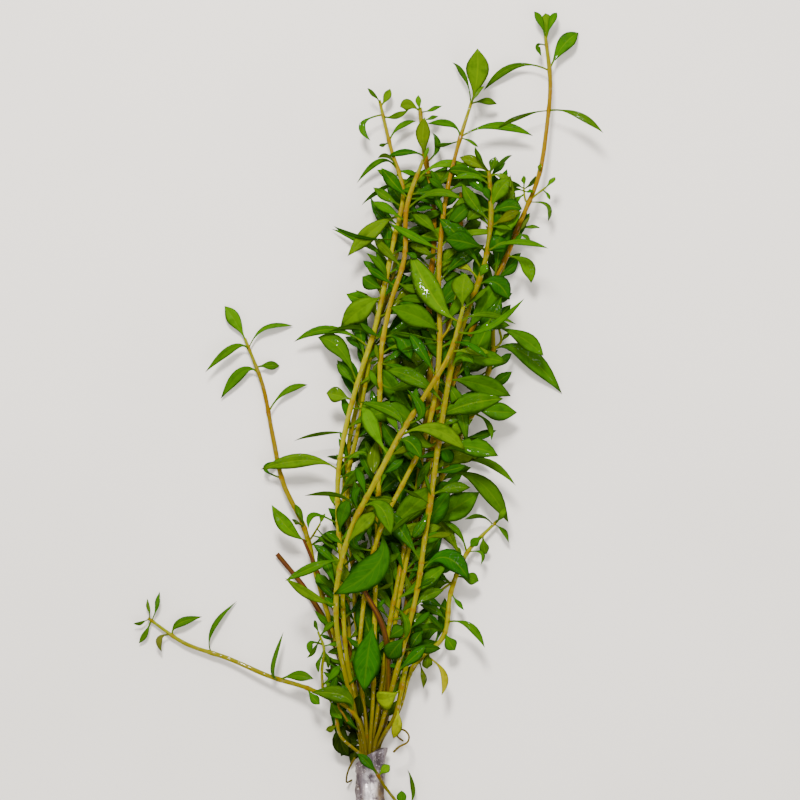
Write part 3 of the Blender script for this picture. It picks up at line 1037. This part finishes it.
def addBlade(store, start, row, lift, arch, roll, kind="fine"):
    stations, top, bottom = bladeForm[kind]
    line = leafLine(start, row, lift, arch, stations)
    half = halfWidth(row, roll, bladeForm["width"])
    chance = chanceSource.random()
    phase = chanceSource.uniform(0, 6.3)
    fullness = bladeForm["fullness"] + chanceSource.uniform(*bladeForm["fullnessRange"])
    wave = bladeForm["wave"] * min(1.0, half / bladeForm["fullWave"])
    ring = [(1, v) for v in top] + [(-1, v) for v in bottom]
    share = chanceSource.uniform(*bladeForm["paleness"])
    colour = mixTint(leafLook[row[-1]], leafLook["m"], 0.0 if row[-1] == "k" else share)
    colour = tuple(c * chanceSource.uniform(*bladeForm["tone"]) for c in colour)
    chance *= row[-1] != "k"
    first = len(store["verts"])
    for k in range(stations - 1):
        u = k / (stations - 1)
        ahead = (line[k + 1] - line[max(0, k - 1)]).normalized()
        across, over = leafAxes(ahead, roll)
        reach = min(1.0, lance(u, fullness, half))
        for side, v in ring:
            rise = bunch["fold"] * half * reach * abs(v) ** 1.3
            shift = bladeForm["waveShift"] if v < 0 else 0.0
            swing = math.sin(bladeForm["waves"] * u + phase + shift)
            rise += wave * abs(v) ** 3 * swing * min(1, 4 * u)
            thick = bladeForm["thickEdge"] + bladeForm["thickMiddle"] * (1 - abs(v)) ** 1.5
            groove = bladeForm["groove"] if side > 0 and v == 0 else 0.0
            rise = rise + side * thick / 2 - groove - bladeForm["sink"]
            spot = line[k] + across * (half * reach * v) + over * rise
            store["verts"].append(tuple(spot * mm))
    store["verts"].append(tuple(line[-1] * mm))
    count = len(ring)
    last = first + (stations - 2) * count

    def face(corners, uvs, under):
        store["faces"].append(corners)
        store["uvs"] += uvs
        store["tint"].append((*colour, 1.0))
        store["chance"].append(chance)
        store["under"].append(under)

    def sideOf(k):
        return ring[k % count][1] * 0.5 + 0.5

    for k in range(stations - 2):
        u, w = k / (stations - 1), (k + 1) / (stations - 1)
        for c in range(count):
            a = first + k * count + c
            b = first + k * count + (c + 1) % count
            face((a, a + count, b + count, b), [(u, sideOf(c)), (w, sideOf(c)), (w, sideOf(c + 1)),
                                                (u, sideOf(c + 1))], float(c >= len(top) - 1))
    for c in range(count):
        u = (stations - 2) / (stations - 1)
        face((last + c, len(store["verts"]) - 1, last + (c + 1) % count),
             [(u, sideOf(c)), (1.0, 0.5), (u, sideOf(c + 1))], float(c >= len(top) - 1))
    face(tuple(first + c for c in range(count)), [(0.0, 0.5)] * count, 0.0)


def newStore():
    return {"verts": [], "faces": [], "uvs": [], "tint": [], "chance": [], "under": []}


def bladeObject(name, store, finish):
    mesh = bpy.data.meshes.new(name)
    mesh.from_pydata(store["verts"], [], store["faces"])
    mesh.uv_layers.new(name="leafUv").data.foreach_set("uv", np.ravel(store["uvs"]))
    addAttribute(mesh, "leafTint", "FACE", store["tint"])
    addAttribute(mesh, "leafChance", "FACE", store["chance"])
    addAttribute(mesh, "leafUnder", "FACE", store["under"])
    mesh.materials.append(finish)
    faceOutwards(mesh)
    mesh.shade_smooth()
    return addObject(name, mesh)


def joinPieces(pieces, name):
    with bpy.context.temp_override(active_object=pieces[0], object=pieces[0], selected_objects=pieces,
                                   selected_editable_objects=pieces):
        bpy.ops.object.join()
    pieces[0].name = name
    pieces[0].data.name = name
    return pieces[0]


def place(piece, node, slotName):
    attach(piece, "root")
    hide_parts(node)


# Small leaves low in the bunch and between its stems, too many for the solids. Each stands on its
# shoot's stem and is kept only where it touches nothing and hides little.
underLeaves = {
    "along": (14.0, 196.0),       # from where to where along Y
    "spacing": (6.0, 9.5),
    "length": (10.0, 27.0),
    "width": (0.2, 0.31),         # share of the length
    "turn": (18, 78),             # degrees away from the stem
    "bend": (-14, 26),            # degrees between its first and second half
    "lift": (-0.45, 0.4),         # share of the length
    "arch": (-0.8, 2.4),
    "roll": (-0.55, 0.55),
    "heights": (0.5, 25.0),
    "lookFrom": 60,
    "mostHidden": 1,              # of six places along a leaf, how many may cover a solid
    "clear": 0.22,
    "tries": 28,
    "shrink": 0.02,               # each further try is this much shorter
    "tints": "mmmddddbo",
    # the bunch's two sides as (y, left, right)
    "sides": [(12, -5, 6), (20, -9, 9), (30, -14, 13), (42, -17, 22), (54, -18, 30), (66, -20, 31),
              (78, -19, 27), (86, -16, 28), (92, -14, 38), (102, -12, 41), (114, -10, 42),
              (126, -10, 45), (138, -12, 48), (148, -10, 45), (160, -5, 46), (174, -2, 50), (186, 0, 52),
              (200, 2, 44)],
}

# The plain shape that is tested for room: places of 9 along the leaf, share of its width there.
cageForm = {
    "stations": 9,
    "sections": ((3, 0.6), (5, 1.0), (7, 0.62)),
    "thick": 0.2,
}


def bladeCage(line, row, roll, spare):
    verts, faces = [], []
    sections = cageForm["sections"]
    deep = cageForm["thick"] + spare
    for k, share in sections:
        ahead = (line[k + 1] - line[k - 1]).normalized()
        across, over = leafAxes(ahead, roll)
        half = halfWidth(row, roll, share) + spare
        rise = over * (bunch["fold"] * half)
        verts += [line[k] + across * half + rise, line[k] + over * deep,
                  line[k] - across * half + rise, line[k] - over * deep]
    for k in range(len(sections) - 1):
        for c in range(4):
            a, b = 4 * k + c, 4 * k + (c + 1) % 4
            faces.append((a, b, b + 4, a + 4))
    verts += [line[2], line[8] + (line[8] - line[7]).normalized() * spare]
    for c in range(4):
        faces.append(((c + 1) % 4, c, 12))
        faces.append((8 + c, 8 + (c + 1) % 4, 13))
    return verts, faces


def insideBunch(verts):
    sides = np.array(underLeaves["sides"], dtype=float)
    low, high = underLeaves["heights"]
    for vert in verts:
        if not low < vert.z < high or not sides[0, 0] < vert.y < sides[-1, 0]:
            return False
        left, right = (np.interp(vert.y, sides[:, 0], sides[:, k]) for k in (1, 2))
        if not left < vert.x < right:
            return False
    return True


def hides(line):
    count = 0
    for spot in line[3:9]:
        hit = solids.ray_cast(Vector((spot.x, spot.y, underLeaves["lookFrom"])), Vector((0, 0, -1)))
        if hit[0] is not None and hit[0].z < spot.z:
            count += 1
    return count


def hasRoom(verts, faces):
    tree = BVHTree.FromPolygons(verts, faces)
    if tree.overlap(solids):
        return None
    low = Vector([min(vert[k] for vert in verts) for k in range(3)])
    high = Vector([max(vert[k] for vert in verts) for k in range(3)])
    for other, otherLow, otherHigh in placedLeaves:
        near = all(low[k] < otherHigh[k] and otherLow[k] < high[k] for k in range(3))
        if near and tree.overlap(other):
            return None
    return tree, low, high


def turned(way, angle):
    return Vector((way.x * math.cos(angle) - way.y * math.sin(angle),
                   way.x * math.sin(angle) + way.y * math.cos(angle)))


def addUnderLeaves(store, points):
    line = roundedRoute(points, stemLook["steps"])
    run = np.concatenate([[0], np.cumsum(np.linalg.norm(np.diff(line, axis=0), axis=1))])
    place, joints = 0.0, []
    while True:
        place += chanceSource.uniform(*underLeaves["spacing"])
        if place > run[-1]:
            return joints
        spot = Vector([np.interp(place, run, line[:, k]) for k in range(3)])
        if not underLeaves["along"][0] < spot.y < underLeaves["along"][1]:
            continue
        k = int(np.searchsorted(run, place))
        ahead = Vector(line[min(k + 1, len(line) - 1)] - line[max(k - 1, 0)]).xy.normalized()
        for side in (-1, 1):
            for turn in range(underLeaves["tries"]):
                length = chanceSource.uniform(*underLeaves["length"])
                length *= 1 - underLeaves["shrink"] * turn
                angle = side * math.radians(chanceSource.uniform(*underLeaves["turn"]))
                bend = side * math.radians(chanceSource.uniform(*underLeaves["bend"]))
                way = turned(ahead, angle)
                late = turned(way, bend)
                middle = spot.xy + way * (length * 0.5)
                tip = middle + late * (length * 0.5)
                width = length * chanceSource.uniform(*underLeaves["width"])
                tint = chanceSource.choice(underLeaves["tints"])
                row = (spot.x, spot.y, middle.x, middle.y, tip.x, tip.y, width, tint)
                lift = length * chanceSource.uniform(*underLeaves["lift"])
                arch = chanceSource.uniform(*underLeaves["arch"])
                roll = chanceSource.uniform(*underLeaves["roll"])
                middleLine = leafLine(spot, row, lift, arch, cageForm["stations"])
                cage = bladeCage(middleLine, row, roll, underLeaves["clear"])
                if not insideBunch(cage[0]) or hides(middleLine) > underLeaves["mostHidden"]:
                    continue
                found = hasRoom(*cage)
                if found:
                    placedLeaves.append(found)
                    addBlade(store, spot, row, lift, arch, roll, "plain")
                    joints.append(tuple(spot))
                    break


# Decayed and folded leaves at the neck, rows as in the shoots' leaves.
neckLeaves = {
    "left_inner_shoot": [
        (-1.8, 13, -5.5, 18, -8.8, 21, 4.6, "k"), (-1.6, 12.5, -6.2, 12.6, -9.4, 8.6, 4.4, "k"),
        (-2.2, 16, -4.4, 20.5, -7.6, 17.4, 3.8, "k"), (-2.4, 20, -3.4, 24, -3, 29, 3.2, "k"),
        (-1.6, 14, -4.6, 15, -7.4, 13.8, 3.4, "k"), (-1.8, 12.2, -4.4, 10.6, -6.4, 6.4, 3.2, "k"),
        (-1.9, 15, -3.8, 18.2, -5.2, 22.6, 3.0, "k")],
    "dark_stem": [
        (0.5, 14, 2.8, 17.5, 6.6, 19.6, 3.4, "k"), (0.6, 18, 1.2, 22, 0.6, 27, 3.6, "k"),
        (0.8, 24, 3.4, 27, 4.8, 31, 3.4, "d")],
}
neckForm = {
    "arches": (0.3, 1.6, -0.6, 3),
    "rolls": (0.1, -0.35, 0.45, -0.8, 0.9),
    "clear": 0.12,
    "floor": 0.3,
}
# the flattest and straightest poses come first
neckPoses = sorted(((lift, arch, roll) for lift in bunch["lifts"] for arch in neckForm["arches"]
                    for roll in neckForm["rolls"]),
                   key=lambda pose: abs(pose[0]) + abs(pose[1]) + abs(pose[2]))


def addNeckLeaves(store, rows, axes):
    for row in rows:
        start = nearestOn(axes, row[0], row[1])
        for lift, arch, roll in neckPoses:
            line = leafLine(start, row, lift, arch, cageForm["stations"])
            cage = bladeCage(line, row, roll, neckForm["clear"])
            found = min(vert.z for vert in cage[0]) > neckForm["floor"] and hasRoom(*cage)
            if found:
                placedLeaves.append(found)
                addBlade(store, start, row, lift, arch, roll)
                break


# foot and top colours of the stems, and between which heights along Y they change
shootTints = {
    "tall_right_shoot": ("low", "high", 90, 150), "crown_shoot": ("low", "high", 110, 160),
    "tan_stem": ("high", "high", 0, 10), "slanting_shoot": ("low", "high", 100, 155),
    "left_shoot": ("low", "high", 70, 125), "middle_shoot": ("low", "high", 120, 180),
    "tall_middle_shoot": ("low", "high", 140, 190), "tall_left_shoot": ("low", "high", 180, 215),
    "long_left_shoot": ("low", "low", 20, 50),
}
otherTints = ("low", "green", 60, 190)
toneRange = (0.84, 1.08)
ruddyRange = (0.0, 0.2)

# dead stems, their foot and top colours
deadRun = (10, 80)
deadTints = {
    "brown_stem": ((0.062, 0.020, 0.005), (0.05, 0.016, 0.005)),
    "dead_stem": ((0.05, 0.019, 0.006), (0.07, 0.02, 0.006)),
    "thin_dead_stem": ((0.09, 0.03, 0.008), (0.07, 0.02, 0.006)),
    "dark_stem": ((0.075, 0.034, 0.008), (0.10, 0.04, 0.008)),
}
rootTints = ((0.14, 0.04, 0.008), (0.19, 0.075, 0.015))
recordSlots = {entry["node"]: entry["material_slot"] for entry in frame["record"]["subparts"]}

wetLeaf = leafMaterial()
freshStem = stemMaterial("freshStem")
deadStem = stemMaterial("deadStem")
rootSkin = stemMaterial("rootSkin")
softLead = leadMaterial()
stemSweep = sweepTree()
solids = solidTree()
placedLeaves = []
toneSource = random.Random(5)


def addLeaves(store, rows, axes, corners):
    joints = []
    for row in rows:
        start = nearestOn(axes, row[0], row[1])
        joints.append(tuple(start))
        addBlade(store, start, row, *leafPose(row, start, corners))
    return joints


def placeShoot(name, lines, store, finish):
    pieces = [sweep(name + "Stem", lines, finish)]
    if store["faces"]:
        pieces.append(bladeObject(name + "Leaves", store, wetLeaf))
    piece = joinPieces(pieces, name + "_grown") if len(pieces) > 1 else pieces[0]
    place(piece, name, recordSlots[name])


def growShoot(name, points, radii, finish, marks, under):
    corners = cornersOf(name)
    axes = [points]
    twigs = []
    for radius, route in sideTwigs.get(name, []):
        spots, wide = twigPose(name, radius, route, axes, corners)
        twigs.append((spots, wide))
        axes.append(spots)
    store = newStore()
    rows = leafRows.get(name, [])
    joints = addLeaves(store, rows, axes, corners)
    known = len(placedLeaves)
    addNeckLeaves(store, neckLeaves.get(name, []), axes)
    if under:
        joints += addUnderLeaves(store, points)
    lines = [fineStem(points, radii, marks, joints, under)]
    for spots, wide in twigs:
        twigMarks = (marks[1], stemLook["green"], spots[0][1], spots[-1][1] + 1)
        lines.append(fineStem(spots, wide, twigMarks, []))
    placeShoot(name, lines, store, finish)
    print("  ", name, len(rows), "leaves and", len(placedLeaves) - known, "small ones")


settled = settleStems()
print("stems placed")
for shoot, (points, radii) in settled.items():
    if shoot in deadTints:
        growShoot(shoot, points, radii, deadStem, (*deadTints[shoot], *deadRun), False)
    else:
        foot, top, low, high = shootTints.get(shoot, otherTints)
        tone, ruddy = toneSource.uniform(*toneRange), toneSource.uniform(*ruddyRange)
        ends = [mixTint(stemLook[end], stemLook["mark"], ruddy) for end in (foot, top)]
        ends = [tuple(tone * c for c in end) for end in ends]
        growShoot(shoot, points, radii, freshStem, (*ends, low, high), shoot != "tan_stem")
print("shoots grown, small leaves:", len(placedLeaves))


def growOverStrip():
    name = "shoot_over_strip"
    corners = cornersOf(name)
    points = resample(roundedRoute(overStrip), overStripForm["step"])
    store = newStore()
    joints = addLeaves(store, overStripLeaves, [points], corners)
    marks = (stemLook["low"], stemLook["green"], overStripForm["greenFrom"], overStripForm["greenTo"])
    line = fineStem(points, np.linspace(*overStripForm["radii"], len(points)), marks, joints)
    placeShoot(name, [line], store, freshStem)


def growRoots():
    for name, (radius, route) in rootRoutes.items():
        points = resample(roundedRoute(route), rootForm["step"])
        radii = np.linspace(radius, rootForm["tip"] * radius, len(points))
        line = fineStem(points, radii, (*rootTints, rootForm["low"], rootForm["high"]), [], False)
        place(sweep(name + "_wiry", [line], rootSkin, rootForm["sides"]), name, recordSlots[name])


growOverStrip()
growRoots()
print("roots grown")

# The lead strip: rolled round the foot, its free end lapped over its start, crinkled all over.
stripForm = {
    "inside": 4.0,
    "wall": 0.75,
    "turn": 395,
    "startAngle": 75,
    "low": -9.0,
    "high": 8.6,
    "around": 130,
    "along": 44,
    "crinkle": 0.5,
    "lap": (1.12, 285, 70),       # how far out the free end lies, from which degree, over how many
    "rim": (2, 5),                # the upper rim opens above this height, over this length
    "rimFlare": (0.45, 0.35, 0.6),
    "rimSlope": (2.5, 0.5, 0.1),
    "ripples": ((0.09, 5, 0.7), (0.06, 9, -1.3)),    # depth, waves around, waves along
    "lapped": 0.1,
    # bends of the wall: depth, how fast they change around and along it, place in the noise
    "dents": ((1.0, 3.4, 0.22, 3.1), (0.5, 7.3, 0.5, 8.4)),
    "creases": (0.3, 12.0, 1.6, 1.7),
    "smoothStart": (8, 30),       # its inner end is smooth, and the bends grow over this many degrees
    "inset": 0.12,
    "thinner": 0.2,
    "underside": (30, 0.12),      # degrees beside its lowest line, and from which share it is flat
    "lying": 300,                 # up to this degree it stays above the surface
}


def bendOf(angle, along, bend):
    depth, around, up, spot = bend
    return depth, noise.noise(Vector((angle * around, along * up, spot)))


def rimShare(along):
    start, run = stripForm["rim"]
    return max(0.0, (along - start) / run)


def stripPoint(swept, along, inner):
    angle = math.radians(stripForm["startAngle"] - swept)
    rise, lapFrom, lapRun = stripForm["lap"]
    lap = rise * min(1.0, max(0.0, (swept - lapFrom) / lapRun))
    least, more, toward = stripForm["rimFlare"]
    flare = rimShare(along) * (least + more * math.cos(angle - toward))
    radius = stripForm["inside"] + lap + flare
    ripple = sum(depth * math.sin(a * angle + b * along) for depth, a, b in stripForm["ripples"])
    radius += ripple * (lap < stripForm["lapped"])
    dent = 0.0
    for bend in stripForm["dents"]:
        depth, value = bendOf(angle, along, bend)
        dent += depth * value
    depth, value = bendOf(angle, along, stripForm["creases"])
    dent += depth * abs(value)
    early, growth = stripForm["smoothStart"]
    radius += stripForm["crinkle"] * dent * min(1.0, (swept + early) / growth) - stripForm["inset"]
    middle = bunch["stripMiddle"]
    wall = 0.0 if inner else stripForm["wall"] - stripForm["thinner"]
    x = middle[0] + (radius + wall) * math.cos(angle)
    z = middle[1] + (radius + wall) * math.sin(angle)
    floor = stripForm["wall"] if inner else 0.0
    spread, flatFrom = stripForm["underside"]
    below = max(0.0, 1 - abs((math.degrees(angle) + 90 + 180) % 360 - 180) / spread)
    if below > flatFrom and lap < stripForm["lapped"]:
        z = min(z, floor)
    return Vector((x, along, max(floor if swept < stripForm["lying"] else 0.0, z)))


def makeStrip():
    around, rings = stripForm["around"], stripForm["along"]
    steep, toward, less = stripForm["rimSlope"]
    verts, faces = [], []
    for r in range(rings + 1):
        along = stripForm["low"] + (stripForm["high"] - stripForm["low"]) * r / rings
        for k in range(around + 1):
            swept = stripForm["turn"] * k / around
            angle = math.radians(stripForm["startAngle"] - swept)
            slope = rimShare(along) * (steep * math.cos(angle - toward) - less)
            for inner in (False, True):
                verts.append(tuple((stripPoint(swept, along, inner) + Vector((0, slope, 0))) * mm))
    span = 2 * (around + 1)
    for r in range(rings):
        for k in range(around):
            a = r * span + 2 * k
            faces.append((a, a + 2, a + 2 + span, a + span))
            faces.append((a + 1, a + 1 + span, a + 3 + span, a + 3))
        for k in (0, around):
            a = r * span + 2 * k
            faces.append((a, a + span, a + 1 + span, a + 1))
    for r in (0, rings):
        for k in range(around):
            a = r * span + 2 * k
            faces.append((a, a + 1, a + 3, a + 2))
    mesh = bpy.data.meshes.new("leadStripRolled")
    mesh.from_pydata(verts, [], faces)
    faceOutwards(mesh)
    mesh.materials.append(softLead)
    mesh.shade_smooth()
    mesh.set_sharp_from_angle(angle=math.radians(50))
    place(addObject("leadStripRolled", mesh), "lead_strip", "lead")


makeStrip()
print("strip rolled")

# The surface, the light and the camera.
studio = {
    "surface": (0.80, 0.752, 0.695),
    "worn": 0.96,               # brightness of its patches beside the rest
    "reach": 3,
    "lens": 200.0,
    "sensor": 36.0,
    "nearest": 0.05,
    "viewWidth": 256.0 * mm,
    "centre": (9.6 * mm, 123.2 * mm, 10.0 * mm),
    "sky": (1.0, 0.985, 0.96, 1.0),
    "skyPower": 1.05,
}
lamps = {
    "keyLight": {"spot": (-0.10, 0.75, 1.0), "size": 0.22, "power": 26.0, "colour": (1.0, 0.98, 0.95)},
    "fillLight": {"spot": (0.5, -0.3, 1.1), "size": 0.8, "power": 5.0, "colour": (0.98, 0.98, 1.0)},
}


def surfaceMaterial():
    made, wire, shader = newMaterial("paleSurface", {"Roughness": 0.6})
    mottle = wire.noise(9.0, 3.0, 0.5, wire.placeOn())
    worn = tuple(c * studio["worn"] for c in studio["surface"])
    joinTo(wire, shader, colour=wire.mixed(studio["surface"], worn, mottle.spread(0.4, 0.65)))
    return made


def makeSurface():
    mesh = bpy.data.meshes.new("surface")
    far = studio["reach"]
    corners = [(-far, -far, 0), (far, -far, 0), (far, far, 0), (-far, far, 0)]
    mesh.from_pydata(corners, [], [(0, 1, 2, 3)])
    mesh.materials.append(surfaceMaterial())
    addObject("surface", mesh)


def addLamp(name):
    form = lamps[name]
    lamp = bpy.data.lights.new(name, "AREA")
    lamp.shape = "SQUARE"
    lamp.size = form["size"]
    lamp.energy = form["power"]
    lamp.color = form["colour"]
    made = addObject(name, lamp)
    made.location = form["spot"]
    aim = Vector(studio["centre"]) - Vector(form["spot"])
    made.rotation_euler = aim.to_track_quat("-Z", "Y").to_euler()


def addCamera():
    camera = bpy.data.cameras.new("overhead")
    camera.lens = studio["lens"]
    camera.sensor_width = studio["sensor"]
    camera.clip_start = studio["nearest"]
    made = addObject("overhead", camera)
    height = studio["viewWidth"] * studio["lens"] / studio["sensor"]
    made.location = Vector(studio["centre"]) + Vector((0, 0, height))
    bpy.context.scene.camera = made


def setSky():
    world = bpy.data.worlds.new("studioSky")
    world.use_nodes = True
    back = world.node_tree.nodes["Background"]
    back.inputs["Color"].default_value = studio["sky"]
    back.inputs["Strength"].default_value = studio["skyPower"]
    bpy.context.scene.world = world


makeSurface()
setSky()
for lampName in lamps:
    addLamp(lampName)
addCamera()
print("studio set")
